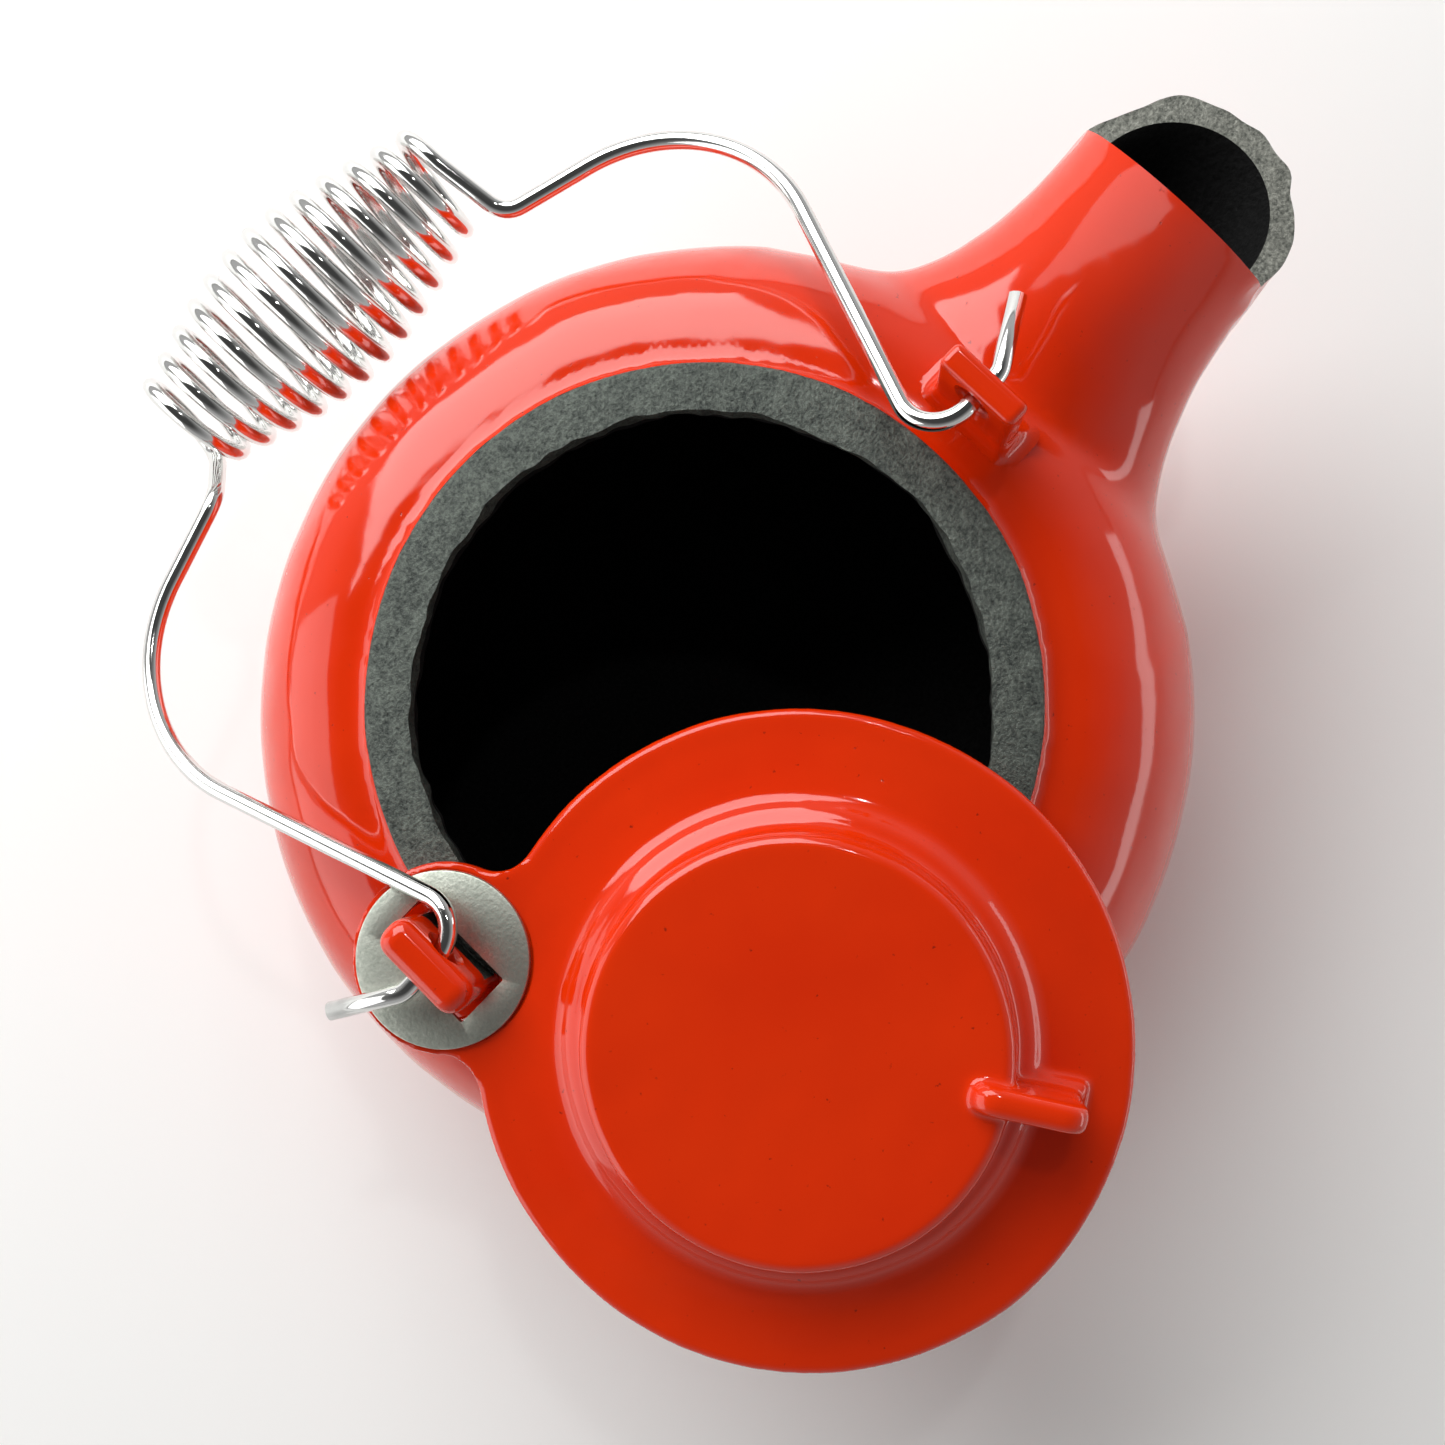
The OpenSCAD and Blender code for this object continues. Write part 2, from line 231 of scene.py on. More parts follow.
def smoothWhere(piece, rounds, where):
    # relaxes the part of a surface that where() weighs above nothing, in a few levels of weight
    spots, _ = spotsOf(piece)
    weights = np.array([where(*spot) for spot in (spots / mm).tolist()])
    group = piece.vertex_groups.new(name="relaxed")
    levels = 10
    for level in range(1, levels + 1):
        chosen = np.nonzero(np.round(weights * levels) == level)[0].tolist()
        if chosen:
            group.add(chosen, level / levels, "REPLACE")
    applyModifier(piece, "SMOOTH", factor=0.5, iterations=rounds, vertex_group="relaxed")
    piece.vertex_groups.clear()


def paint(piece, material):
    piece.data.materials.clear()
    piece.data.materials.append(material)
    piece.data.polygons.foreach_set("material_index", [0] * len(piece.data.polygons))
    return piece


def smoothShade(piece, angle=None):
    takeUp(piece)
    if angle is None:
        bpy.ops.object.shade_smooth()
    else:
        bpy.ops.object.shade_smooth_by_angle(angle=math.radians(angle))


def ramp(value, low, high):
    # 0 at low, 1 at high, and smooth between them
    share = max(0, min(1, (value - low) / (high - low)))
    return share * share * (3 - 2 * share)


# the camera looks down from above the pot; its place is in metres
cameraSet = {"place": (0.0133, -0.0415, 0.4496), "right": (0.694, -0.714, -0.097),
             "forward": (-0.038, 0.099, -0.994), "lens": 36.1, "sensor": 36.0, "nearest": 0.01}

forward = Vector(cameraSet["forward"]).normalized()
right = Vector(cameraSet["right"])
right = (right - forward * right.dot(forward)).normalized()
turn = Matrix((right, right.cross(forward), -forward)).transposed()
bpy.ops.object.camera_add(location=cameraSet["place"], rotation=turn.to_euler())
camera = bpy.context.object
camera.data.lens = cameraSet["lens"]
camera.data.sensor_width = cameraSet["sensor"]
camera.data.clip_start = cameraSet["nearest"]
bpy.context.scene.camera = camera
print("camera placed")


def linear(code):
    # an sRGB hex colour as linear red, green and blue
    parts = [int(code[i:i + 2], 16) / 255 for i in (1, 3, 5)]
    return tuple(c / 12.92 if c <= 0.04045 else ((c + 0.055) / 1.055) ** 2.4 for c in parts) + (1,)


def newMaterial(name, **settings):
    # a new material and its shader, with the shader's uniform values set
    material = bpy.data.materials.new(name)
    material.use_nodes = True
    shader = material.node_tree.nodes["Principled BSDF"]
    for key, value in settings.items():
        shader.inputs[key.replace("_", " ")].default_value = value
    return material, shader


def addNode(material, kind, links=None, **settings):
    # adds a node, sets its values and sockets, and links its inputs
    node = material.node_tree.nodes.new("ShaderNode" + kind)
    for key, value in settings.items():
        if hasattr(node, key):
            setattr(node, key, value)
        else:
            node.inputs[key.replace("_", " ")].default_value = value
    for socket, source in (links or {}).items():
        material.node_tree.links.new(source, node.inputs[socket])
    return node


def ink(material, target, source):
    # links an output to an input of the shader
    material.node_tree.links.new(source, target)


def perMetre(size):
    # a pattern's scale, from the size of one of its marks in millimetres
    return 1 / (size * mm)


# a colour mix takes its share and two colours at these inputs, and gives its result at this output
mixShare, mixFirst, mixSecond, mixResult = 0, 6, 7, 2


def makeEnamel():
    # vitreous enamel fired on cast iron: thick red-orange glass, pooled a little uneven, very glossy,
    # with the faint orange peel and pinholes of a fired coat
    material, shader = newMaterial("vitreousEnamel", Roughness=0.09, IOR=1.52)
    place = addNode(material, "TexCoord").outputs["Object"]
    pools = addNode(material, "TexNoise", {"Vector": place}, Scale=perMetre(38), Detail=3.0)
    fleck = addNode(material, "TexNoise", {"Vector": place}, Scale=perMetre(1.6), Detail=2.0)
    tint = addNode(material, "Mix", {mixShare: pools.outputs["Fac"]}, data_type="RGBA")
    tint.inputs[mixFirst].default_value = linear("#CE2602")
    tint.inputs[mixSecond].default_value = linear("#DC3405")
    dots = addNode(material, "MapRange", {"Value": fleck.outputs["Fac"]}, From_Min=0.72, From_Max=0.8)
    spots = addNode(material, "Mix", {mixShare: dots.outputs["Result"], mixFirst: tint.outputs[mixResult]},
                    data_type="RGBA")
    spots.inputs[mixSecond].default_value = linear("#8E1E08")
    ink(material, shader.inputs["Base Color"], spots.outputs[mixResult])
    peel = addNode(material, "TexNoise", {"Vector": place}, Scale=perMetre(5), Detail=1.5)
    fine = addNode(material, "Bump", {"Height": peel.outputs["Fac"]}, Strength=0.05, Distance=0.0006)
    pits = addNode(material, "Bump", {"Height": dots.outputs["Result"], "Normal": fine.outputs["Normal"]},
                   Strength=0.15, Distance=0.0002, invert=True)
    ink(material, shader.inputs["Normal"], pits.outputs["Normal"])
    return material


def makeBareIron(name, dark, light, roughness, grain):
    # sand-cast iron left bare: dark grey, gritty, with a dull sparkle on the tops of the grains
    material, shader = newMaterial(name, Metallic=0.55)
    place = addNode(material, "TexCoord").outputs["Object"]
    grit = addNode(material, "TexNoise", {"Vector": place}, Scale=perMetre(grain), Detail=4.0,
                   Roughness=0.7)
    patch = addNode(material, "TexNoise", {"Vector": place}, Scale=perMetre(4), Detail=4.0)
    patchShare = 0.45
    soft = addNode(material, "Math", {0: patch.outputs["Fac"]}, operation="MULTIPLY")
    soft.inputs[1].default_value = patchShare
    both = addNode(material, "Math", {0: grit.outputs["Fac"], 1: soft.outputs[0]}, operation="ADD")
    level = addNode(material, "MapRange", {"Value": both.outputs[0]}, From_Min=0.5, From_Max=0.98)
    tint = addNode(material, "Mix", {mixShare: level.outputs["Result"]}, data_type="RGBA")
    tint.inputs[mixFirst].default_value = linear(dark)
    tint.inputs[mixSecond].default_value = linear(light)
    ink(material, shader.inputs["Base Color"], tint.outputs[mixResult])
    sparkle = 0.12
    dull = addNode(material, "MapRange", {"Value": grit.outputs["Fac"]}, From_Min=0.3, From_Max=0.7,
                   To_Min=roughness + sparkle, To_Max=roughness - sparkle)
    ink(material, shader.inputs["Roughness"], dull.outputs["Result"])
    bumps = addNode(material, "Bump", {"Height": both.outputs[0]}, Strength=0.9, Distance=0.0007)
    ink(material, shader.inputs["Normal"], bumps.outputs["Normal"])
    return material


def makeZinc():
    # zinc-plated steel, dulled and finely speckled by handling, a little greenish
    material, shader = newMaterial("zincPlate", Metallic=1.0)
    place = addNode(material, "TexCoord").outputs["Object"]
    speck = addNode(material, "TexNoise", {"Vector": place}, Scale=perMetre(0.9), Detail=3.0)
    cloud = addNode(material, "TexNoise", {"Vector": place}, Scale=perMetre(8), Detail=3.0)
    both = addNode(material, "Math", {0: speck.outputs["Fac"], 1: cloud.outputs["Fac"]}, operation="ADD")
    level = addNode(material, "MapRange", {"Value": both.outputs[0]}, From_Min=0.7, From_Max=1.3)
    tint = addNode(material, "Mix", {mixShare: level.outputs["Result"]}, data_type="RGBA")
    tint.inputs[mixFirst].default_value = linear("#A3A99E")
    tint.inputs[mixSecond].default_value = linear("#D2D6CA")
    ink(material, shader.inputs["Base Color"], tint.outputs[mixResult])
    dull = addNode(material, "MapRange", {"Value": both.outputs[0]}, From_Min=0.7, From_Max=1.3,
                   To_Min=0.55, To_Max=0.4)
    ink(material, shader.inputs["Roughness"], dull.outputs["Result"])
    bumps = addNode(material, "Bump", {"Height": speck.outputs["Fac"]}, Strength=0.35, Distance=0.0002)
    ink(material, shader.inputs["Normal"], bumps.outputs["Normal"])
    return material


def makeChrome():
    # bright chrome-plated drawn wire: a near mirror with faint draw marks
    material, shader = newMaterial("chromedWire", Metallic=1.0, Base_Color=linear("#DEDEDC"))
    place = addNode(material, "TexCoord").outputs["Object"]
    rub = addNode(material, "TexNoise", {"Vector": place}, Scale=perMetre(6), Detail=4.0)
    dull = addNode(material, "MapRange", {"Value": rub.outputs["Fac"]}, From_Min=0.35, From_Max=0.7,
                   To_Min=0.05, To_Max=0.14)
    ink(material, shader.inputs["Roughness"], dull.outputs["Result"])
    bumps = addNode(material, "Bump", {"Height": rub.outputs["Fac"]}, Strength=0.04, Distance=0.0005)
    ink(material, shader.inputs["Normal"], bumps.outputs["Normal"])
    return material


enamel = makeEnamel()
groundIron = makeBareIron("groundCastIron", "#2A2F2D", "#70776F", 0.5, 0.9)
mouthIron = makeBareIron("brokenCastIron", "#4B4E48", "#A9AAA0", 0.6, 1.0)
# the inside is bare iron whose colour is taken down to near black, far darker than the iron itself:
# painted shade of the deep hollow
paintedShadeIron = makeBareIron("innerIronPaintedShade", "#050505", "#141414", 0.85, 1.3)
zinc = makeZinc()
chrome = makeChrome()
print("materials made")


# the pot is one casting with its spout and both lugs
pot = {
    "rimHeight": 114, "rimRadius": 80, "rimStep": 4.5, "rimWidth": 11.5, "groundBore": 4,
    "bellyRadius": 124, "bellyHeight": 58, "baseRadius": 92, "shoulder": 4,
    "wall": 4, "floor": 5, "roof": 9, "overGrind": 4, "voxel": 1.65, "rounds": 5,
    "spin": 144, "fineSpin": 288, "quarterSteps": 20, "coreSteps": 12,
    "waves": ((34, 0.5, 0), (11, 0.16, 7)), "boreWaves": ((16, 1.7, 3), (5, 0.9, 11)),
}
spout = {
    "from": (85, 62), "bend": (130, 68), "to": (176, 120), "corner": (161, 104),
    "mouth": 28.3, "root": 43, "flare": 2.2, "rootWide": 90, "flareWide": 3,
    "flat": 2.5, "pinch": 1.5, "wall": 5.5, "upperCut": 18, "lowerCut": 10, "sides": 64, "stations": 16,
    "lipWaves": ((9, 1.8, 2),), "cutFar": 80, "cutHalf": 60,
}
# the band that is relaxed into a fillet round the spout's foot: where it lies, and how it fades
foot = {
    "nearest": 60, "halfWidth": 72, "highest": 112, "shellDepth": 56, "rounds": 160,
    "overBase": (4, 14), "overSide": (20, 34), "topFrom": 60, "topShare": 0.35,
    "offShell": (0.02, 0.22), "outFrom": (84, 90),
}
lugs = {
    "rear": {"x": -84, "thick": 9.8, "wide": 25, "edge": 4, "flare": 1},
    "front": {"x": 93.5, "thick": 6.5, "wide": 21.5, "edge": 1.6, "flare": 4.5},
    "height": 21.5, "hole": 8.5, "holeHeight": 14.5, "root": 16, "waist": 1, "flareHeight": 7,
    "voxel": 0.5, "rounds": 4,
}


def spoutStations(inset):
    # centre, tilt, half width and half depth at each station; the outside flares wider at its root
    rings = []
    for index in range(spout["stations"] + 1):
        u = index / spout["stations"]
        start, bend, end = (Vector((p[0], 0, p[1])) for p in (spout["from"], spout["bend"], spout["to"]))
        centre = (1 - u) ** 2 * start + 2 * u * (1 - u) * bend + u * u * end
        way = (1 - u) * (bend - start) + u * (end - bend)
        slim = spout["mouth"] - spout["pinch"] * u ** 6 - inset
        depth = slim + (spout["root"] - spout["mouth"]) * (1 - u) ** spout["flare"] - spout["flat"] * u * u
        width = slim + (spout["root"] - spout["mouth"]) * (1 - u) ** spout["flare"]
        if inset == 0:
            width = max(width, slim + (spout["rootWide"] - spout["mouth"]) * (1 - u) ** spout["flareWide"])
        rings.append((centre, math.atan2(way.x, way.z), width, depth))
    return rings


def makePotOutside():
    # the turned body and the spout made into one skin, left a little high at the rim for grinding
    shoulderHeight = pot["rimHeight"] - pot["rimStep"]
    shoulderRadius = pot["rimRadius"] + pot["shoulder"]
    body = turned("kettle_casting_enamelled", (
        [(0, 0)]
        + arc(pot["baseRadius"], pot["bellyHeight"], pot["bellyRadius"] - pot["baseRadius"],
              pot["bellyHeight"], -90, 0, pot["quarterSteps"])
        + arc(shoulderRadius, pot["bellyHeight"], pot["bellyRadius"] - shoulderRadius,
              shoulderHeight - pot["bellyHeight"], 0, 90, pot["quarterSteps"])[1:]
        + [(pot["rimRadius"], shoulderHeight), (pot["rimRadius"], pot["rimHeight"] + pot["overGrind"]),
           (0, pot["rimHeight"] + pot["overGrind"])]), pot["spin"])
    joinAll(body, lofted("spout", spoutStations(0), spout["sides"]))
    applyModifier(body, "REMESH", mode="VOXEL", voxel_size=pot["voxel"] * mm)
    # the spout grows out of the body in a wide fillet, and all the rest is only eased
    smoothWhere(body, foot["rounds"], atSpoutFoot)
    applyModifier(body, "SMOOTH", factor=0.5, iterations=pot["rounds"])
    waver(body, pot["waves"], lambda x, y, z: ramp(z, 1, 6))
    # the lip was broken out of the mould, so it is ragged
    waver(body, spout["lipWaves"], lambda x, y, z: ramp(x, 150, 160) * ramp(z, 60, 80))
    return body


def atSpoutFoot(x, y, z):
    # how far a place belongs to the band round the foot of the spout, where it leaves the body
    out = math.hypot(x, y)
    if x < foot["nearest"] or abs(y) > foot["halfWidth"] or z > foot["highest"]:
        return 0
    away = abs(math.hypot(out / pot["bellyRadius"], (z - pot["bellyHeight"]) / foot["shellDepth"]) - 1)
    side = ramp(abs(y), *foot["overSide"]) if z > foot["topFrom"] else 1
    return (ramp(z, *foot["overBase"]) * max(side, foot["topShare"])
            * (1 - ramp(away, *foot["offShell"])) * ramp(out, *foot["outFrom"]))


def makeLug(kind):
    # a plate on edge with rounded top corners, its foot flared, and a round hole with eased mouths
    size = lugs[kind]
    top = pot["rimHeight"] + lugs["height"]
    low = pot["rimHeight"] - lugs["root"]
    lug = block("lug_" + kind, (size["x"], 0, (top + low) / 2), (size["thick"], size["wide"], top - low))
    selectEdges(lug, lambda a, b: max(a.z, b.z) > (low + 1) * mm)
    bpy.ops.mesh.bevel(offset=size["edge"] * mm, segments=5, affect="EDGES", clamp_overlap=True)
    leaveEdit()
    applyModifier(lug, "REMESH", mode="VOXEL", voxel_size=lugs["voxel"] * mm)
    applyModifier(lug, "SMOOTH", factor=0.5, iterations=lugs["rounds"])
    half = size["thick"] / 2
    spots, _ = spotsOf(lug)
    waist = pot["rimHeight"] + lugs["waist"]
    drop = np.clip((waist * mm - spots[:, 2]) / (lugs["flareHeight"] * mm), 0, 1)
    spread = size["flare"] * mm * (1 - np.sqrt(1 - drop ** 2))
    spots[:, 0] += np.clip((spots[:, 0] - size["x"] * mm) / (half * mm), -1, 1) * spread
    spots[:, 1] += np.clip(spots[:, 1] / (size["wide"] / 2 * mm), -1, 1) * spread
    moveTo(lug, spots)
    bore = lugs["hole"] / 2
    mouth = [(0, -half - 3), (bore + 3, -half - 3), (bore + 1, -half), (bore + 0.3, -half + 0.5),
             (bore, -half + 1.2), (bore, half - 1.2), (bore + 0.3, half - 0.5), (bore + 1, half),
             (bore + 3, half + 3), (0, half + 3)]
    drill = turned("drill", mouth, 48)
    drill.rotation_euler = (0, math.radians(90), 0)
    drill.location = Vector((size["x"], 0, pot["rimHeight"] + lugs["holeHeight"])) * mm
    settle(drill)
    combine(lug, drill, "DIFFERENCE")
    return lug


def makePotCore():
    # the hollow of the pot with its ragged bore, and the hollow of the spout, as the foundry's cores
    z = pot["rimHeight"] - pot["roof"]
    bore = pot["rimRadius"] - pot["rimWidth"]
    shoulderRadius = pot["rimRadius"] + pot["shoulder"]
    core = turned("pot_core", (
        [(0, pot["floor"])]
        + arc(pot["baseRadius"], pot["bellyHeight"], pot["bellyRadius"] - pot["wall"] - pot["baseRadius"],
              pot["bellyHeight"] - pot["floor"], -90, 0, pot["coreSteps"])
        + arc(shoulderRadius, pot["bellyHeight"],
              pot["bellyRadius"] - pot["wall"] - shoulderRadius, z - pot["bellyHeight"],
              0, 90, pot["coreSteps"])[1:]
        + [(bore + 4, z), (bore + 1, z + 1)] + [(bore, z + up) for up in (3, 5, 7, 8, 9, 10)]
        + [(0, z + 10)]), pot["fineSpin"])
    waver(core, pot["boreWaves"], lambda x, y, h: ramp(h, z - 1, z + 3) * ramp(math.hypot(x, y), 40, 60))
    combine(core, lofted("spout_core", spoutStations(spout["wall"]), spout["sides"]), "UNION")
    return core


def makeGrinder():
    # a ring that grinds the rim face flat between the lugs and eases its outer edge
    z = pot["rimHeight"]
    r = pot["rimRadius"]
    return turned("grinder", [(0, z), (r - 1.1, z), (r - 0.4, z - 0.3), (r, z - 0.9), (r + 0.4, z - 0.9),
                              (r + 0.4, z + 8), (0, z + 8)], pot["fineSpin"])


def makeMouthCutter():
    # the wedge that trims the spout: steep above the mouth's corners, nearly level below them
    far = spout["cutFar"]
    upper, lower = math.radians(spout["upperCut"]), math.radians(spout["lowerCut"])
    steep = Vector((-math.sin(upper), math.cos(upper)))
    level = Vector((math.cos(lower), -math.sin(lower)))
    corner = Vector(spout["corner"])
    cutter = drawOutline("mouth_cutter", [corner, corner + far * steep, corner + Vector((far, far)),
                                          corner + far * level, corner])
    cutter.location.y = -spout["cutHalf"] * mm
    settle(cutter)
    return thickened(cutter, (0, 2 * spout["cutHalf"], 0))


def makePot():
    # enamel outside, ground iron on the rim, broken iron at the mouth, and within bare iron painted near
    # black as painted shade of the deep hollow
    body = paint(makePotOutside(), enamel)
    for kind in ("rear", "front"):
        combine(body, paint(makeLug(kind), enamel), "UNION")
    combine(body, paint(makeGrinder(), groundIron), "DIFFERENCE")
    # the hollow's faces take the near-black iron, which is painted shade
    combine(body, paint(makePotCore(), paintedShadeIron), "DIFFERENCE")
    combine(body, paint(makeMouthCutter(), mouthIron), "DIFFERENCE")
    # the bore shows ground iron for its first few millimetres
    ground = body.data.materials.find(groundIron.name)
    bore = pot["rimRadius"] - pot["rimWidth"]
    for face in body.data.polygons:
        out = math.hypot(face.center.x, face.center.y) / mm
        if abs(out - bore) < 6 and face.center.z > (pot["rimHeight"] - pot["groundBore"]) * mm:
            face.material_index = ground
    smoothShade(body, 40)
    return body


# the lid is drawn closed, about its own centre, and then swung open
lid = {
    "radius": 75.2, "flange": 4.4, "bossRadius": 45, "bossHeight": 23, "earRadius": 22.4,
    "pivotReach": 84, "pivotHole": 14.2, "fillet": 9, "recess": 21.5, "wall": 4,
    "gap": 0.2, "open": 57.5, "tab": (38, 63), "tabThick": 6, "tabRise": 5, "voxel": 0.85,
    "rounds": 7, "spin": 160, "cutSpin": 128, "waves": ((30, 0.35, 5), (9, 0.1, 9)),
}


def makeEar():
    # the round ear that turns on the rear lug, run into the flange by two concave fillets
    fillet, reach = lid["fillet"], lid["pivotReach"]
    a, b = lid["earRadius"] + fillet, lid["radius"] + fillet
    along = (reach * reach + a * a - b * b) / (2 * reach)
    off = math.sqrt(a * a - along * along)
    turnAt = math.degrees(math.atan2(off, along))
    meetAt = math.degrees(math.atan2(off, reach - along))
    outline = [(lid["earRadius"] * math.cos(q), lid["earRadius"] * math.sin(q))
               for q in np.radians(np.linspace(turnAt, 360 - turnAt, 49))]
    inward = [(along + fillet * math.cos(q), -off + fillet * math.sin(q))
              for q in np.radians(np.linspace(180 - turnAt, meetAt, 13))]
    outline += inward + [(x, -y) for x, y in reversed(inward)]
    ear = drawOutline("ear", outline + [outline[0]])
    ear.rotation_euler = (math.radians(-90), 0, 0)
    settle(ear)
    thickened(ear, (0, 0, lid["flange"]))
    applyModifier(ear, "BEVEL", width=1.5 * mm, segments=4, limit_method="ANGLE", angle_limit=1.0)
    ear.location.x = -reach * mm
    settle(ear)
    return ear


def makeTab():
    # the thumb tab, a plate on edge with rounded top corners
    start, end = lid["tab"]
    top, low = lid["bossHeight"] + lid["tabRise"], lid["flange"]
    tab = block("tab", ((start + end) / 2, 0, (top + low) / 2), (end - start, lid["tabThick"], top - low))
    selectEdges(tab, lambda p, q: abs(p.y - q.y) > mm and max(p.z, q.z) > (top - 1) * mm)
    bpy.ops.mesh.bevel(offset=5 * mm, segments=6, affect="EDGES")
    leaveEdit()
    applyModifier(tab, "BEVEL", width=1.8 * mm, segments=3, limit_method="ANGLE", angle_limit=1.0)
    return tab


def makeLid():
    r, t, boss, top = lid["radius"], lid["flange"], lid["bossRadius"], lid["bossHeight"]
    disc = turned("lid_enamelled", (
        [(0, 0), (r - 1.6, 0)] + arc(r - 1.6, 1.6, 1.6, 1.6, -90, 0, 4)
        + arc(r - 1.8, t - 1.8, 1.8, 1.8, 0, 90, 4)
        + [(r - 6, t + 0.1), (boss + 16, t + 0.9), (boss + 10.5, t + 1.7), (boss + 8.6, t + 2.6),
           (boss + 7.6, t + 4.0), (boss + 6, t + 4.9), (boss + 4, t + 5.4), (boss + 2.9, t + 7),
           (boss + 2.2, top - 4)]
        + arc(boss - 0.6, top - 2.4, 2.6, 2.4, 0, 90, 5) + [(0, top)]), lid["spin"])
    # a wider foot runs under the tab
    tabFoot = block("tab_foot", (boss + 11, 0, t + 1.5), (17, lid["tabThick"] + 4, 4))
    joinAll(disc, makeEar(), makeTab(), tabFoot)
    applyModifier(disc, "REMESH", mode="VOXEL", voxel_size=lid["voxel"] * mm)
    applyModifier(disc, "SMOOTH", factor=0.5, iterations=lid["rounds"])
    # the underside stays true, so that the closed lid clears the rim
    waver(disc, lid["waves"], lambda x, y, h: ramp(h, 0.6, 2.2))
    hollow, ceiling = boss - lid["wall"], top - lid["wall"]
    core = turned("lid_core", [(0, -3), (hollow + 1.5, -3), (hollow + 1.5, 0.0), (hollow, 1.6),
                               (hollow - 0.5, ceiling - 2), (hollow - 2.5, ceiling), (0, ceiling)],
                  lid["cutSpin"])
    combine(disc, core, "DIFFERENCE")
    # the pivot hole, and the flat round it that the washer lies on
    hole, recess = lid["pivotHole"], lid["recess"]
    eye = turned("lid_eye", [(0, -3), (hole + 3, -3), (hole + 0.8, -0.1), (hole, 0.8), (hole, t - 1),
                             (hole + 0.3, t - 0.3), (hole + 1, t), (hole + 1.2, t + 0.02),
                             (recess - 0.6, t + 0.02), (recess, t + 0.6), (recess + 0.8, t + 1.8),
                             (recess + 0.8, t + 8), (0, t + 8)], lid["cutSpin"])
    eye.location.x = -lid["pivotReach"] * mm
    settle(eye)
    combine(disc, eye, "DIFFERENCE")
    swing(disc)
    smoothShade(disc, 40)
    return disc


def swing(piece):
    # a lid drawn closed about its centre goes to its place, open
    reach = lid["pivotReach"] * mm
    opened = Matrix.Rotation(math.radians(-lid["open"]), 4, "Z")
    place = Matrix.Translation((-reach, 0, (pot["rimHeight"] + lid["gap"]) * mm))
    piece.data.transform(place @ opened @ Matrix.Translation((reach, 0, 0)))
    piece.data.update()


# the washer lies over the rear lug
washer = {
    "radius": 20.7, "thick": 1.5, "bottom": 118.8, "slot": (14.1, 27), "slotCorner": 0.6, "ease": 0.35,
}


def makeWasher():
    r, t, e = washer["radius"], washer["thick"], washer["ease"]
    disc = turned("pivot_washer_zinc", [(0, 0), (r - e, 0), (r, e), (r, t - 1.4 * e),
                                        (r - 0.4 * e, t - 0.5 * e), (r - 1.4 * e, t), (0, t)], 128)
    slot = block("slot", (0, 0, 0), (*washer["slot"], 10))
    selectEdges(slot, lambda a, b: abs(a.z - b.z) > mm)
    bpy.ops.mesh.bevel(offset=washer["slotCorner"] * mm, segments=3, affect="EDGES")
    leaveEdit()
    combine(disc, slot, "DIFFERENCE")
    applyModifier(disc, "BEVEL", width=0.18 * mm, segments=2, limit_method="ANGLE", angle_limit=1.0)
    disc.location = Vector((lugs["rear"]["x"], 0, washer["bottom"])) * mm
    settle(disc)
    smoothShade(disc, 35)
    return disc


# the bail is one wire from tail to tail, with the grip coiled from it
bail = {
    "wire": 4.4, "angle": -15, "middle": 3, "pivot": 128.5,
    "hookReach": 85.6, "hookRadius": 9, "hookTurn": 111, "frontRun": 57, "rearRun": 63,
    "bowRadius": 41.5, "bowTurn": 91, "shoulderRun": 24,
    "tailReach": 94.5, "tailRadius": 6, "tailTurn": 32, "tailLength": 17,
    "turns": 13, "coilRadius": 21.7, "endRadius": 12.3, "coilOffset": 23, "legAdvance": 3.6,
    "cornerRun": 5, "cornerSteps": 8, "barrel": 1.3, "stepsPerTurn": 36, "roundness": 4, "cutEase": 0.5,
}


def heading(degrees):
    # a direction in the flat plane of the bail
    return Vector((math.cos(math.radians(degrees)), math.sin(math.radians(degrees)), 0))


def bend(centre, radius, start, end, steps):
    # points round a bend of the wire
    return [centre + radius * heading(start + (end - start) * i / steps) for i in range(steps + 1)]


def sidePath(run):
    # tail, hook, straight run and bow of the +X side, up to just before the corner at the grip
    runHeading = 180 - bail["hookTurn"]
    shoulderHeading = runHeading + bail["bowTurn"]
    tail = Vector((bail["tailReach"], bail["tailRadius"], 0))
    hook = Vector((bail["hookReach"], bail["hookRadius"], 0))
    hookEnd = hook + bail["hookRadius"] * heading(runHeading + 90)
    bow = hookEnd + run * heading(runHeading) + bail["bowRadius"] * heading(runHeading + 90)
    corner = (bow + bail["bowRadius"] * heading(shoulderHeading - 90)
              + bail["shoulderRun"] * heading(shoulderHeading))
    points = [tail + bail["tailRadius"] * heading(bail["tailTurn"] - 90)
              + bail["tailLength"] * heading(bail["tailTurn"])]
    points += bend(tail, bail["tailRadius"], bail["tailTurn"] - 90, -90, 6)
    points += bend(hook, bail["hookRadius"], 270, runHeading + 90, 18)
    points += bend(bow, bail["bowRadius"], runHeading - 90, shoulderHeading - 90, 32)
    points.append(corner - bail["cornerRun"] * heading(shoulderHeading))
    return points, corner, shoulderHeading


def coilPoint(share, half):
    # a point on the barrel-shaped coil, from one leg of the wire to the other
    legTurn = math.acos(bail["endRadius"] / bail["coilOffset"])
    q = legTurn + (math.tau * bail["turns"] - 2 * legTurn) * share
    swell = math.sin(math.pi * share) ** bail["barrel"]
    r = bail["endRadius"] + (bail["coilRadius"] - bail["endRadius"]) * swell
    return Vector((half * (1 - 2 * share), bail["coilOffset"] - r * math.cos(q), r * math.sin(q)))


def cornerPoints(start, corner, after):
    # rounds the corner where a side of the bail turns into the coil
    way = (after - corner).normalized() * bail["cornerRun"]
    return [(1 - u) ** 2 * start + 2 * u * (1 - u) * corner + u * u * (corner + way)
            for u in (i / bail["cornerSteps"] for i in range(bail["cornerSteps"] + 1))]


